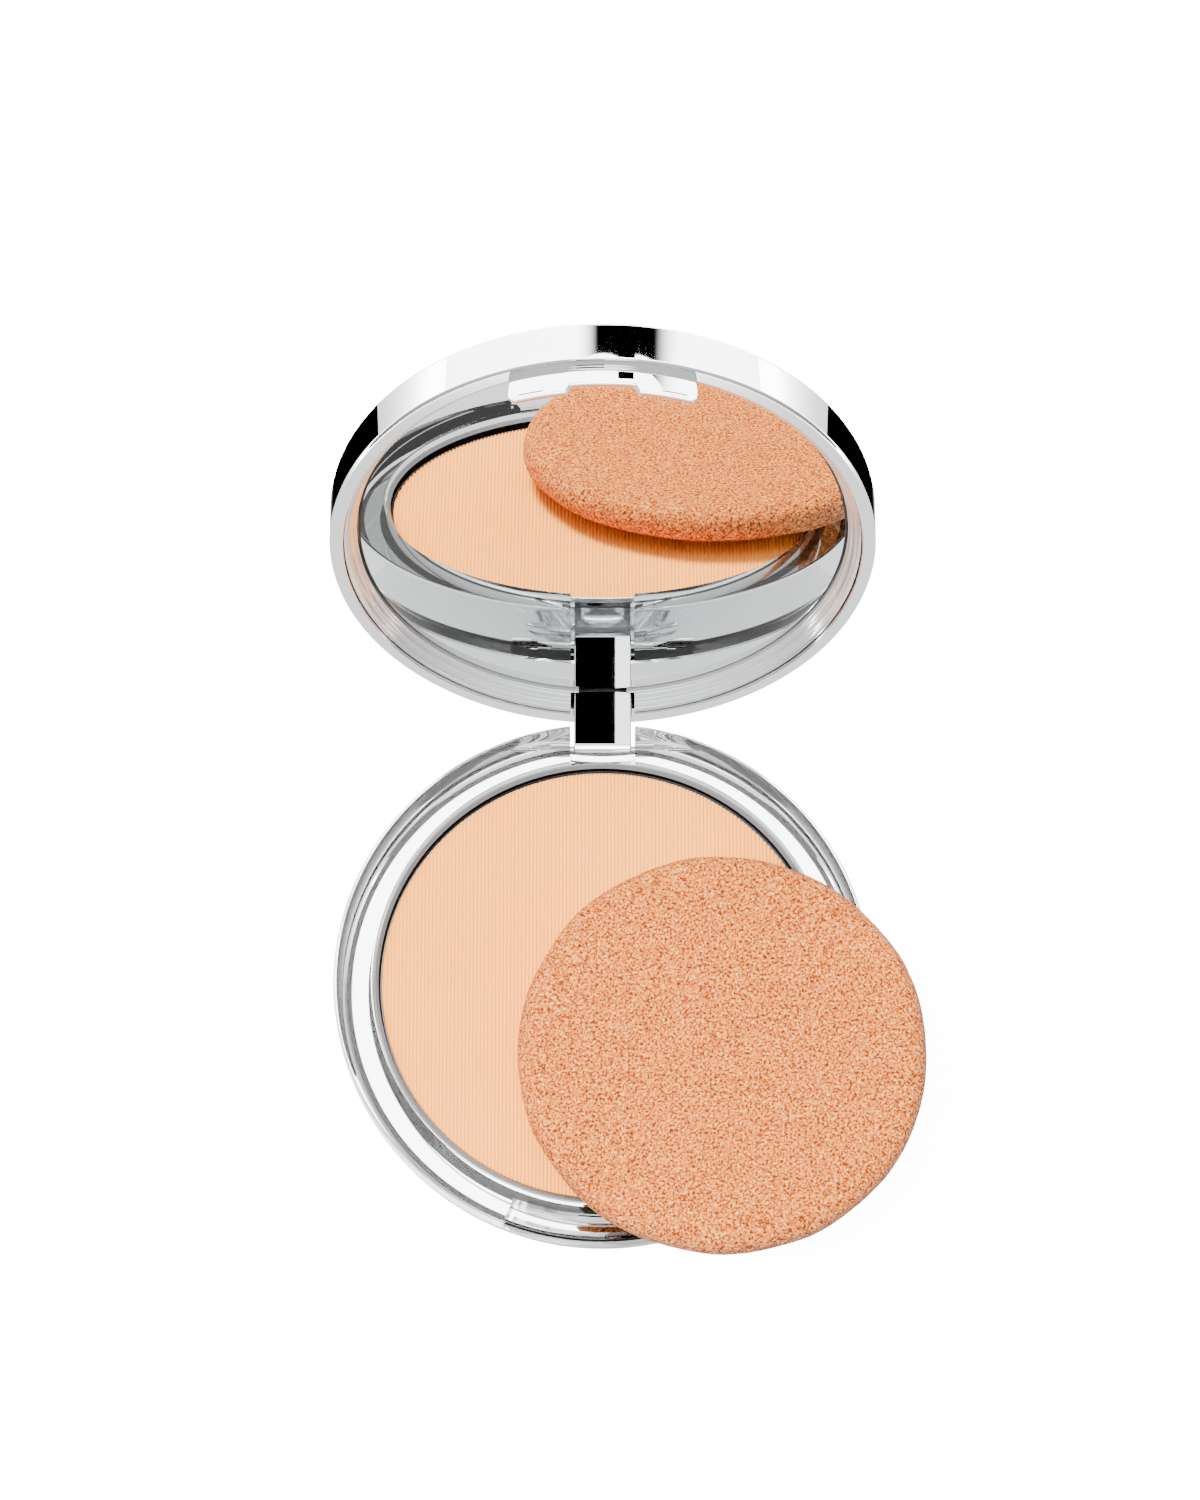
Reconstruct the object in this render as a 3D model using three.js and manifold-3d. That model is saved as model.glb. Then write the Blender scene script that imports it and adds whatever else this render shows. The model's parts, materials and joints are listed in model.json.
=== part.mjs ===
// Round powder compact: a clear base on a plated foot dish, holding a silvered well with a pan of
// pressed powder, and a plated lid with a mirror that turns on a strap hinge. A foam sponge lies on
// the open base. Millimetres, +Z up, +Y towards the hinge, origin at the centre of the underside.
import * as THREE from 'three';
import { mergeVertices } from 'three/addons/utils/BufferGeometryUtils.js';
import Module from 'manifold-3d';

const wasm = await Module();
wasm.setup();

// Driving dimensions
const SEGMENTS = 64;
const FILM_SEGMENTS = 32;
const ARC_SEGMENTS = 14;
const FIT = 0.1;
const PARTING_Z = 13.4;
const PARTING_GAP = 0.3;
const RIM_Z = PARTING_Z + PARTING_GAP;

const BASE_TOP_RADIUS = 37.2;
const FOOT_RADIUS = 31.5;
const SHOULDER = 1;
const RIM_CHAMFER = 0.3;
const SEAM_Z = 4.6;
const RING_BOTTOM_Z = 4.9;
const RING_INNER_RADIUS = 31.75;
const DISH_FLOOR = 1.4;
const SPIGOT_INNER_RADIUS = 30.2;
const LABEL_RADIUS = 14;
const LABEL_THICKNESS = 0.2;

const TRAY_RADIUS = 31.65;
const TRAY_BORE_RADIUS = 30.85;
const TRAY_BOTTOM_Z = 6.15;
const TRAY_FLOOR = 1.0;
const TRAY_TOP_Z = 12.7;
const TRAY_SLOPE_FOOT_Z = 11.4;
const TRAY_LIP = 0.25;
const PAN_RADIUS = 30.75;
const PAN_WALL = 0.25;
const PAN_BOTTOM_Z = 7.5;
const PAN_TOP_Z = 11.3;
const POWDER_TOP_Z = 11.4;
const PAN_ADHESIVE_RADIUS = 21.5;

const PIN_Y = 35.23;
const PIN_Z = 7.15;
const PIN_RADIUS = 0.6;
const PIN_HALF_LENGTH = 7.2;
const PIN_BORE_RADIUS = 0.66;
const PIN_SEGMENTS = 20;
const LUG_BORE_END = 9.2;
const COUNTERBORE_RADIUS = 0.9;
const SLOT_WIDTH = 9;
const SLOT_FRONT_Y = 33.4;
const SHELF_DEPTH = 1.4;

const RECESS_HALF_ANGLE = 21.5;
const RECESS_INNER_RADIUS = 33.4;
const RECESS_OUTER_RADIUS = 36.5;
const RECESS_DEPTH = 5;
const CATCH_HALF_ANGLE = 5.8;
const CATCH_RADIUS = 34.2;
const CATCH_TOP_DEPTH = 0.7;
const CATCH_BOTTOM_DEPTH = 2.2;

const LID_OPEN_DEGREES = 112.27;
const LID_RADIUS = 37.5;
const LID_HEIGHT = 7.27;
const LID_EDGE = 0.35;
const LID_WALL_INNER_RADIUS = 35.6;
const LID_TOP_THICKNESS = 1.0;
const FRAME_RADIUS = 35.4;
const FRAME_STEP_RADII = [34.2, 34.8];
const FRAME_STEP_HEIGHTS = [3.1, 2.0, 0.9];
const MIRROR_RADIUS = 33.6;
const MIRROR_DEPTH = 3.66;
const MIRROR_THICKNESS = 1.1;
const LEDGE_RADIUS = 27;
const MIRROR_ADHESIVE_RADIUS = 31.5;
const MIRROR_ADHESIVE_THICKNESS = 0.1;

const STRAP_WIDTH = 8;
const STRAP_FRONT_Y = 33.68;
const STRAP_THICKNESS = 1.3;
const BARREL_RADIUS = 1.55;
const STRAP_FOOT_LENGTH = 7;
const STRAP_FOOT_THICKNESS = 0.9;

const TONGUE_HALF_ANGLE = 20.4;
const TONGUE_INNER_RADIUS = 35.0;
const TONGUE_OUTER_RADIUS = 36.2;
const TONGUE_REACH = 4.0;
const TONGUE_ROOT = 2.4;
const TONGUE_NOTCH_HALF_ANGLE = 7.4;
const TONGUE_NOTCH = 1.3;
const TONGUE_NOTCH_PLAY = 0.3;
const NIB_REACH = 0.15;
const NIB_ROOT = 0.3;
const NIB_HEIGHTS = [0.3, 1.1];
const NIB_HALF_ANGLE = 2.8;
const NIB_ANGLE = 15.4;

const SPONGE_RADIUS = 28.4;
const SPONGE_THICKNESS = 5.3;
const SPONGE_X = 16.4;
const SPONGE_Y = -11.4;

const radians = THREE.MathUtils.degToRad;
const FRONT = radians(-90);

const chrome = new THREE.MeshStandardMaterial({ color: 0xd9dbdd, roughness: 0.06, metalness: 1 });
const silver = new THREE.MeshStandardMaterial({ color: 0xe4e5e6, roughness: 0.2, metalness: 1 });
const mirrorGlass = new THREE.MeshStandardMaterial({ color: 0xf2f4f4, roughness: 0.01, metalness: 1 });
const aluminium = new THREE.MeshStandardMaterial({ color: 0xb9babb, roughness: 0.35, metalness: 1 });
const clear = new THREE.MeshStandardMaterial({
  color: 0xf2f4f5, roughness: 0.05, metalness: 0, transparent: true, opacity: 0.35,
});
const paper = new THREE.MeshStandardMaterial({ color: 0xf3f3f1, roughness: 0.6, metalness: 0 });
const adhesive = new THREE.MeshStandardMaterial({ color: 0xe8e6df, roughness: 0.8, metalness: 0 });
const powder = new THREE.MeshStandardMaterial({ color: 0xf6d0af, roughness: 0.95, metalness: 0 });
const foam = new THREE.MeshStandardMaterial({ color: 0xebb68e, roughness: 0.9, metalness: 0 });

// A solid turned about the Z axis from a closed outline of [radius, height] points.
function turned(outline, segments = SEGMENTS) {
  const points = outline.map(([radius, height]) => new THREE.Vector2(radius, height));
  const onAxis = outline[0][0] === 0 && outline.at(-1)[0] === 0;
  if (!onAxis) points.push(points[0].clone());
  return new THREE.LatheGeometry(points, segments).rotateX(Math.PI / 2);
}

// A curved block between two radii, two heights and a half angle either side of a direction.
function sector(inner, outer, low, high, halfAngle, direction) {
  const shape = new THREE.Shape();
  shape.absarc(0, 0, outer, direction - radians(halfAngle), direction + radians(halfAngle), false);
  shape.absarc(0, 0, inner, direction + radians(halfAngle), direction - radians(halfAngle), true);
  const settings = { depth: high - low, bevelEnabled: false, curveSegments: ARC_SEGMENTS };
  return new THREE.ExtrudeGeometry(shape, settings).translate(0, 0, low);
}

function block(width, y0, y1, z0, z1) {
  const box = new THREE.BoxGeometry(width, y1 - y0, z1 - z0);
  return box.translate(0, (y0 + y1) / 2, (z0 + z1) / 2);
}

// A round bar along X between two places, centred on the hinge axis.
function barAlongX(radius, x0, x1) {
  const bar = new THREE.CylinderGeometry(radius, radius, x1 - x0, PIN_SEGMENTS);
  return bar.rotateZ(Math.PI / 2).translate((x0 + x1) / 2, PIN_Y, PIN_Z);
}

function toSolid(geometry) {
  const bare = geometry.clone();
  bare.deleteAttribute('normal');
  bare.deleteAttribute('uv');
  const merged = mergeVertices(bare, 1e-4);
  const vertProperties = new Float32Array(merged.attributes.position.array);
  const triVerts = new Uint32Array(merged.index.array);
  return new wasm.Manifold(new wasm.Mesh({ numProp: 3, vertProperties, triVerts }));
}

function toGeometry(solid) {
  const mesh = solid.getMesh();
  const geometry = new THREE.BufferGeometry();
  geometry.setAttribute('position', new THREE.BufferAttribute(mesh.vertProperties, 3));
  geometry.setIndex(new THREE.BufferAttribute(mesh.triVerts, 1));
  geometry.computeVertexNormals();
  return geometry;
}

function cut(body, tools) {
  return toGeometry(tools.reduce((rest, tool) => rest.subtract(toSolid(tool)), toSolid(body)));
}

function join(pieces) {
  return toGeometry(pieces.map(toSolid).reduce((whole, piece) => whole.add(piece)));
}

function named(name, geometry, material) {
  const mesh = new THREE.Mesh(geometry, material);
  mesh.name = name;
  return mesh;
}

// Outer radius of the base: widest just under the parting line, rounding in to the foot.
function baseRadius(z) {
  const drop = Math.max(PARTING_Z - z - SHOULDER, 0) / (PARTING_Z - SHOULDER);
  return FOOT_RADIUS + (BASE_TOP_RADIUS - FOOT_RADIUS) * Math.sqrt(1 - drop * drop);
}

function outerCurve(z0, z1, steps) {
  const heights = Array.from({ length: steps + 1 }, (_, i) => z0 + ((z1 - z0) * i) / steps);
  return heights.map((z) => [baseRadius(z), z]);
}

function baseCover() {
  const recess = LABEL_THICKNESS + FIT;
  return turned([
    [0, recess],
    [LABEL_RADIUS + FIT, recess],
    [LABEL_RADIUS + FIT, 0],
    ...outerCurve(0, SEAM_Z, 6),
    [TRAY_RADIUS, SEAM_Z],
    [TRAY_RADIUS, TRAY_BOTTOM_Z - FIT],
    [SPIGOT_INNER_RADIUS, TRAY_BOTTOM_Z - FIT],
    [SPIGOT_INNER_RADIUS, DISH_FLOOR],
    [0, DISH_FLOOR],
  ]);
}

function baseBody() {
  const ring = turned([
    [RING_INNER_RADIUS, RING_BOTTOM_Z],
    ...outerCurve(RING_BOTTOM_Z, PARTING_Z - RIM_CHAMFER, 5),
    [BASE_TOP_RADIUS - RIM_CHAMFER, PARTING_Z],
    [RING_INNER_RADIUS, PARTING_Z],
  ]);
  const above = PARTING_Z + 1;
  const beyond = BASE_TOP_RADIUS + 1;
  const shelf = block(SLOT_WIDTH, TRAY_BORE_RADIUS, beyond, PARTING_Z - SHELF_DEPTH, above);
  const slot = block(SLOT_WIDTH, SLOT_FRONT_Y, beyond, RING_BOTTOM_Z - 1, above);
  const cuts = [shelf, slot, latchRecess(above)];
  for (const side of [-1, 1]) {
    const bore = [0, side * LUG_BORE_END].sort((a, b) => a - b);
    const counterbore = [side * LUG_BORE_END, side * beyond].sort((a, b) => a - b);
    cuts.push(barAlongX(PIN_BORE_RADIUS, ...bore), barAlongX(COUNTERBORE_RADIUS, ...counterbore));
  }
  return cut(ring, cuts);
}

// The pocket that takes the latch tongue, with the catch left standing on its inner wall.
function latchRecess(above) {
  const floor = PARTING_Z - RECESS_DEPTH;
  const pocket = sector(
    RECESS_INNER_RADIUS, RECESS_OUTER_RADIUS, floor, above, RECESS_HALF_ANGLE, FRONT,
  );
  const catchBar = sector(
    RECESS_INNER_RADIUS - 1, CATCH_RADIUS, PARTING_Z - CATCH_BOTTOM_DEPTH,
    PARTING_Z - CATCH_TOP_DEPTH, CATCH_HALF_ANGLE, FRONT,
  );
  return cut(pocket, [catchBar]);
}

function powderTray() {
  return turned([
    [0, TRAY_BOTTOM_Z],
    [TRAY_RADIUS, TRAY_BOTTOM_Z],
    [TRAY_RADIUS, TRAY_TOP_Z],
    [TRAY_RADIUS - TRAY_LIP, TRAY_TOP_Z],
    [TRAY_BORE_RADIUS, TRAY_SLOPE_FOOT_Z],
    [TRAY_BORE_RADIUS, TRAY_BOTTOM_Z + TRAY_FLOOR],
    [0, TRAY_BOTTOM_Z + TRAY_FLOOR],
  ]);
}

function powderPan() {
  const inner = PAN_RADIUS - PAN_WALL;
  return turned([
    [0, PAN_BOTTOM_Z],
    [PAN_RADIUS, PAN_BOTTOM_Z],
    [PAN_RADIUS, PAN_TOP_Z],
    [inner, PAN_TOP_Z],
    [inner, PAN_BOTTOM_Z + PAN_WALL],
    [0, PAN_BOTTOM_Z + PAN_WALL],
  ]);
}

function disc(radius, z0, z1, segments = SEGMENTS) {
  return turned([[0, z0], [radius, z0], [radius, z1], [0, z1]], segments);
}

// A thin layer of double-sided tape, hidden between two parts.
function film(radius, z0, z1) {
  return disc(radius, z0, z1, FILM_SEGMENTS);
}

function lidShell() {
  const top = PARTING_Z + LID_HEIGHT;
  const cup = turned([
    [0, top - LID_TOP_THICKNESS],
    [LID_WALL_INNER_RADIUS, top - LID_TOP_THICKNESS],
    [LID_WALL_INNER_RADIUS, RIM_Z],
    [LID_RADIUS, RIM_Z],
    [LID_RADIUS, top - LID_EDGE],
    [LID_RADIUS - LID_EDGE, top],
    [0, top],
  ]);
  return cut(cup, [tongueNotch()]);
}

// Room in the lid's rim for the root of the latch tongue.
function tongueNotch() {
  return sector(
    TONGUE_INNER_RADIUS - FIT, TONGUE_OUTER_RADIUS + FIT, RIM_Z - 1, RIM_Z + TONGUE_ROOT + FIT,
    TONGUE_HALF_ANGLE + TONGUE_NOTCH_PLAY, FRONT,
  );
}

// The stepped inner ring that carries the mirror, notched for the strap and the tongue.
function lidFrame() {
  const mirrorTop = PARTING_Z + MIRROR_DEPTH + MIRROR_THICKNESS;
  const mirrorBack = mirrorTop + MIRROR_ADHESIVE_THICKNESS + 2 * FIT;
  const top = PARTING_Z + LID_HEIGHT - LID_TOP_THICKNESS - FIT;
  const [innerStep, outerStep] = FRAME_STEP_RADII;
  const [highStep, middleStep, lowStep] = FRAME_STEP_HEIGHTS.map((height) => PARTING_Z + height);
  const ring = turned([
    [LEDGE_RADIUS, mirrorBack],
    [MIRROR_RADIUS + FIT, mirrorBack],
    [MIRROR_RADIUS + FIT, highStep],
    [innerStep, highStep],
    [innerStep, middleStep],
    [outerStep, middleStep],
    [outerStep, lowStep],
    [FRAME_RADIUS, lowStep],
    [FRAME_RADIUS, top],
    [LEDGE_RADIUS, top],
  ]);
  const strapNotch = block(SLOT_WIDTH, STRAP_FRONT_Y - FIT, LID_RADIUS, PARTING_Z, top + 1);
  const footNotch = block(
    SLOT_WIDTH, STRAP_FRONT_Y - STRAP_FOOT_LENGTH - FIT, LID_RADIUS, mirrorBack - 1, top + 1,
  );
  return cut(ring, [strapNotch, footNotch, tongueNotch()]);
}

function hingeStrap() {
  const footTop = PARTING_Z + LID_HEIGHT - LID_TOP_THICKNESS - FIT;
  const back = STRAP_FRONT_Y + STRAP_THICKNESS;
  const footFront = STRAP_FRONT_Y - STRAP_FOOT_LENGTH;
  const barrel = barAlongX(BARREL_RADIUS, -STRAP_WIDTH / 2, STRAP_WIDTH / 2);
  const plate = block(STRAP_WIDTH, STRAP_FRONT_Y, back, PIN_Z, footTop);
  const foot = block(STRAP_WIDTH, footFront, back, footTop - STRAP_FOOT_THICKNESS, footTop);
  const bore = barAlongX(PIN_BORE_RADIUS, -STRAP_WIDTH, STRAP_WIDTH);
  return cut(join([barrel, plate, foot]), [bore]);
}

// A curved plate that reaches below the rim, shorter in the middle, with a small nib near each end.
function latchTongue() {
  const tip = RIM_Z - TONGUE_REACH;
  const [nibLow, nibHigh] = NIB_HEIGHTS.map((height) => tip + height);
  const plate = sector(
    TONGUE_INNER_RADIUS, TONGUE_OUTER_RADIUS, tip, RIM_Z + TONGUE_ROOT, TONGUE_HALF_ANGLE, FRONT,
  );
  const notch = sector(
    TONGUE_INNER_RADIUS - 1, TONGUE_OUTER_RADIUS + 1, tip - 1, tip + TONGUE_NOTCH,
    TONGUE_NOTCH_HALF_ANGLE, FRONT,
  );
  const nibs = [-1, 1].map((side) => sector(
    TONGUE_OUTER_RADIUS - NIB_ROOT, TONGUE_OUTER_RADIUS + NIB_REACH, nibLow, nibHigh,
    NIB_HALF_ANGLE, FRONT + side * radians(NIB_ANGLE),
  ));
  return join([cut(plate, [notch]), ...nibs]);
}

function sponge() {
  const half = SPONGE_THICKNESS / 2;
  const edge = Array.from({ length: 9 }, (_, i) => radians(-90 + (180 * i) / 8));
  return turned([
    [0, -half],
    ...edge.map((angle) => [SPONGE_RADIUS - half + half * Math.cos(angle), half * Math.sin(angle)]),
    [0, half],
  ]);
}

function build() {
  const mirrorZ = PARTING_Z + MIRROR_DEPTH;
  const mirrorTop = mirrorZ + MIRROR_THICKNESS;
  const tapeZ = mirrorTop + FIT;
  const tapeTop = tapeZ + MIRROR_ADHESIVE_THICKNESS;
  const trayFloor = TRAY_BOTTOM_Z + TRAY_FLOOR;
  const panFloor = PAN_BOTTOM_Z + PAN_WALL;
  const powderRadius = PAN_RADIUS - PAN_WALL - FIT;

  const base = new THREE.Group();
  base.add(
    named('base_cover', baseCover(), chrome),
    named('base_label', disc(LABEL_RADIUS, 0, LABEL_THICKNESS), paper),
    named('base_body', baseBody(), clear),
    named('powder_tray', powderTray(), silver),
    named('pan_adhesive', film(PAN_ADHESIVE_RADIUS, trayFloor + FIT, PAN_BOTTOM_Z - FIT), adhesive),
    named('powder_pan', powderPan(), aluminium),
    named('powder_cake', disc(powderRadius, panFloor + FIT, POWDER_TOP_Z), powder),
    named('hinge_pin', barAlongX(PIN_RADIUS, -PIN_HALF_LENGTH, PIN_HALF_LENGTH), aluminium),
  );

  const lid = new THREE.Group();
  lid.add(
    named('lid_shell', lidShell(), chrome),
    named('lid_frame', lidFrame(), silver),
    named('mirror', disc(MIRROR_RADIUS, mirrorZ, mirrorTop), mirrorGlass),
    named('mirror_adhesive', film(MIRROR_ADHESIVE_RADIUS, tapeZ, tapeTop), adhesive),
    named('latch_tongue', latchTongue(), chrome),
    named('hinge_strap', hingeStrap(), chrome),
  );
  lid.position.set(0, -PIN_Y, -PIN_Z);
  const opened = new THREE.Group();
  opened.add(lid);
  opened.rotation.x = -radians(LID_OPEN_DEGREES);
  opened.position.set(0, PIN_Y, PIN_Z);

  const applicator = named('applicator_sponge', sponge(), foam);
  applicator.position.set(SPONGE_X, SPONGE_Y, PARTING_Z + FIT + SPONGE_THICKNESS / 2);

  const compact = new THREE.Group();
  compact.add(base, opened, applicator);
  return compact;
}

export default build();
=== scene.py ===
"""Round powder compact: clear base, chromed mirror lid on a strap hinge, ribbed powder, foam sponge."""
import json
import math

import bmesh
import bpy
from mathutils import Matrix, Vector, noise


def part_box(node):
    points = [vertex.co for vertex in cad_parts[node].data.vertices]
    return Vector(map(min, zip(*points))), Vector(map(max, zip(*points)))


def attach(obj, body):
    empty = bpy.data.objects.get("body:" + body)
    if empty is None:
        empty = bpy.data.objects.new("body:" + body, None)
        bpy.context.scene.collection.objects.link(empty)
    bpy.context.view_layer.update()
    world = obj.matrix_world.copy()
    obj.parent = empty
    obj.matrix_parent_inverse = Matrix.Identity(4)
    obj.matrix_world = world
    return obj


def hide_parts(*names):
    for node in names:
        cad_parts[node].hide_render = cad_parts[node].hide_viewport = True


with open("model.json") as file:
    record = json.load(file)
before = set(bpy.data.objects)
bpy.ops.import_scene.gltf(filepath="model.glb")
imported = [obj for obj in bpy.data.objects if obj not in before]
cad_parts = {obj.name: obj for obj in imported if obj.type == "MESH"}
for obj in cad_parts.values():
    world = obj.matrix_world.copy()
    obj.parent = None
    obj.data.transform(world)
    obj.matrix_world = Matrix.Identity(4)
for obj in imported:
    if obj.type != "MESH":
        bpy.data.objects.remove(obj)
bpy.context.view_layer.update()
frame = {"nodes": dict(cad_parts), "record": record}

MM = 0.001
STEPS = 192

# Places taken from the frame
JOINTS = {joint["name"]: joint for joint in frame["record"]["behaviour"]["joints"]}
PIN = Vector(JOINTS["lid_hinge"]["pos_m"]) / MM
LID_ANGLE = math.radians(JOINTS["lid_hinge"]["range_deg"][1])
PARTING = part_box("base_body")[1][2] / MM
POWDER_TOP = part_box("powder_cake")[1][2] / MM
RIM_GAP = 0.3
RIM = PARTING + RIM_GAP

# Base, millimetres
BASE_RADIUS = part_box("base_body")[1][0] / MM
FOOT_RADIUS = 31.5
SHOULDER = 1.0
LABEL_RECESS_RADIUS = 14.1
LABEL_RECESS_DEPTH = 0.3
DISH_FLOOR = 1.4
SPIGOT_INNER = 30.2
SPIGOT_TOP = 6.05
SEAM = 4.6
RING_BOTTOM = 4.75
RING_INNER = 31.75
GAP_SHADE_OUTER = 32.5
WELD_INNER = 34.75
WELD_OUTER = 35.5
WELD_DEPTH = 0.3
WELD_DRAFT = 0.04
TRAY_RADIUS = 31.65
TRAY_BORE = 30.85
TRAY_BOTTOM = 6.15
TRAY_FLOOR = 7.15
TRAY_TOP = 12.7
PAN_RADIUS = 30.75
PAN_WALL = 0.2
PAN_BOTTOM = 7.5
PAN_FLOOR = 7.75
PAN_TOP = 11.0
POWDER_RADIUS = 30.5
POWDER_BOTTOM = 7.85
RIB_PITCH = 0.515
RIB_DEPTH = 0.27
RIB_POINTS = 8
SLOT_HALF = 4.5
SLOT_FRONT = 33.4
SHELF_DEPTH = 1.4
SHELF_FRONT = 30.9
POCKET_INNER = 33.4
POCKET_OUTER = 36.5
POCKET_DEPTH = 5
POCKET_HALF_ANGLE = 21.5
CATCH_INNER = 33.3
CATCH_OUTER = 34.2
CATCH_HALF_ANGLE = 5.8
PIN_RADIUS = 0.6
PIN_HALF = 7.2
BORE_RADIUS = 0.66
LUG_BORE_END = 9.2
COUNTERBORE_RADIUS = 0.9

# Lid, millimetres
LID_RADIUS = 37.5
LID_HEIGHT = 7.27
LID_TOP_THICKNESS = 1
LID_WALL_INNER = 35.6
MIRROR_RADIUS = 33.6
MIRROR_DEPTH = 3.66
MIRROR_THICKNESS = 1.1
LEDGE_RADIUS = 27
FRAME_STEPS = ((33.75, 3.1), (34.2, 2.0), (34.8, 0.9))
FRAME_RADIUS = 35.5
FRAME_TOP = 6.1
STRAP_HALF = 4.0
STRAP_FRONT = 33.68
STRAP_THICKNESS = 1.3
STRAP_FOOT_END = 26.7
STRAP_FOOT_THICKNESS = 0.9
BARREL_RADIUS = 1.55
TONGUE_RADIUS = 36.2
TONGUE_THICKNESS = 1.1
TONGUE_HALF_ANGLE = 20.4
TONGUE_NOTCH_HALF_ANGLE = 7.0
TONGUE_MIDDLE_REACH = 2.7
TONGUE_WING_REACH = 1.3
NIB_ANGLE = 15.4


# ---- mesh helpers ----

def finish_mesh(name, bm, smooth_angle=35):
    """Turns a bmesh in millimetres into a piece at its place, in metres, with faces pointing out."""
    bmesh.ops.remove_doubles(bm, verts=bm.verts, dist=1e-5)
    bmesh.ops.recalc_face_normals(bm, faces=bm.faces)
    bmesh.ops.scale(bm, vec=(MM, MM, MM), verts=bm.verts)
    mesh = bpy.data.meshes.new(name)
    bm.to_mesh(mesh)
    bm.free()
    piece = bpy.data.objects.new(name, mesh)
    bpy.context.scene.collection.objects.link(piece)
    mesh.shade_smooth()
    mesh.set_sharp_from_angle(angle=math.radians(smooth_angle))
    flats = piece.modifiers.new("true_flats", "WEIGHTED_NORMAL")
    flats.weight = 100
    flats.keep_sharp = True
    return piece


def spun(outline, steps=STEPS):
    """A solid turned about Z from an outline of (radius, height) points."""
    bm = bmesh.new()
    verts = [bm.verts.new((radius, 0, height)) for radius, height in outline]
    edges = [bm.edges.new(pair) for pair in zip(verts, verts[1:])]
    if outline[0][0] > 0:
        edges.append(bm.edges.new((verts[-1], verts[0])))
    bmesh.ops.spin(
        bm, geom=verts + edges, cent=(0, 0, 0), axis=(0, 0, 1), angle=math.tau, steps=steps, use_merge=True,
    )
    bmesh.ops.remove_doubles(bm, verts=bm.verts, dist=1e-5)
    bmesh.ops.recalc_face_normals(bm, faces=bm.faces)
    return bm


def rounded(outline, radius, steps=4):
    """An outline in which each corner with a third value is cut back by that many radii and curved."""
    points = []
    for i, corner in enumerate(outline):
        if len(corner) == 2:
            points.append(corner)
            continue
        here = Vector(corner[:2])
        before = (Vector(outline[i - 1][:2]) - here).normalized()
        after = (Vector(outline[(i + 1) % len(outline)][:2]) - here).normalized()
        size = radius * corner[2]
        start = here + before * size
        end = here + after * size
        for step in range(steps + 1):
            t = step / steps
            point = start * (1 - t) ** 2 + here * 2 * t * (1 - t) + end * t ** 2
            points.append((point.x, point.y))
    return points


def open_lid(bm):
    """Turns geometry of the closed lid to its open rest place about the hinge pin."""
    bmesh.ops.rotate(
        bm, verts=bm.verts, cent=PIN, matrix=Matrix.Rotation(-LID_ANGLE, 3, "X"),
    )
    return bm


def block(low, high, bm=None):
    """A box between two corners, alone or added to a bmesh."""
    bm = bm or bmesh.new()
    size = Vector(high) - Vector(low)
    middle = (Vector(high) + Vector(low)) / 2
    matrix = Matrix.Translation(middle) @ Matrix.Diagonal((*size, 1))
    bmesh.ops.create_cube(bm, size=1, matrix=matrix)
    return bm


def bar_along_x(radius, x0, x1, segments=48, bm=None):
    """A round bar on the hinge axis."""
    bm = bm or bmesh.new()
    place = Matrix.Translation(((x0 + x1) / 2, PIN.y, PIN.z)) @ Matrix.Rotation(math.pi / 2, 4, "Y")
    bmesh.ops.create_cone(
        bm, cap_ends=True, segments=segments, radius1=radius, radius2=radius, depth=x1 - x0, matrix=place,
    )
    return bm


def arc_block(inner, outer, low, high, half_angle, steps=24):
    """A curved block at the front of the compact."""
    bm = bmesh.new()
    start = math.radians(-90 - half_angle)
    corners = [(inner, low), (outer, low), (outer, high), (inner, high)]
    section = [bm.verts.new((r * math.cos(start), r * math.sin(start), z)) for r, z in corners]
    face = bm.faces.new(section)
    bmesh.ops.spin(
        bm, geom=[face], cent=(0, 0, 0), axis=(0, 0, 1), angle=math.radians(2 * half_angle), steps=steps,
    )
    bmesh.ops.recalc_face_normals(bm, faces=bm.faces)
    return bm


def scratch_object(bm):
    """A throwaway object that cuts or joins another."""
    bmesh.ops.recalc_face_normals(bm, faces=bm.faces)
    mesh = bpy.data.meshes.new("scratch")
    bm.to_mesh(mesh)
    bm.free()
    thing = bpy.data.objects.new("scratch", mesh)
    bpy.context.scene.collection.objects.link(thing)
    return thing


def combined(bm, tools, operation="DIFFERENCE"):
    """A bmesh cut or joined by others, in the order given."""
    body = scratch_object(bm)
    helpers = [scratch_object(tool) for tool in tools]
    for helper in helpers:
        modifier = body.modifiers.new("cut", "BOOLEAN")
        modifier.operation = operation
        modifier.solver = "EXACT"
        modifier.object = helper
    evaluated = body.evaluated_get(bpy.context.evaluated_depsgraph_get())
    result = bmesh.new()
    result.from_mesh(evaluated.to_mesh())
    for thing in [body, *helpers]:
        bpy.data.meshes.remove(thing.data)
    return result


# ---- materials ----

def linear(hex_colour):
    """An sRGB hex colour as linear RGBA."""
    channels = [int(hex_colour[i:i + 2], 16) / 255 for i in (1, 3, 5)]
    return (*[c / 12.92 if c <= 0.04045 else ((c + 0.055) / 1.055) ** 2.4 for c in channels], 1.0)


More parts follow.
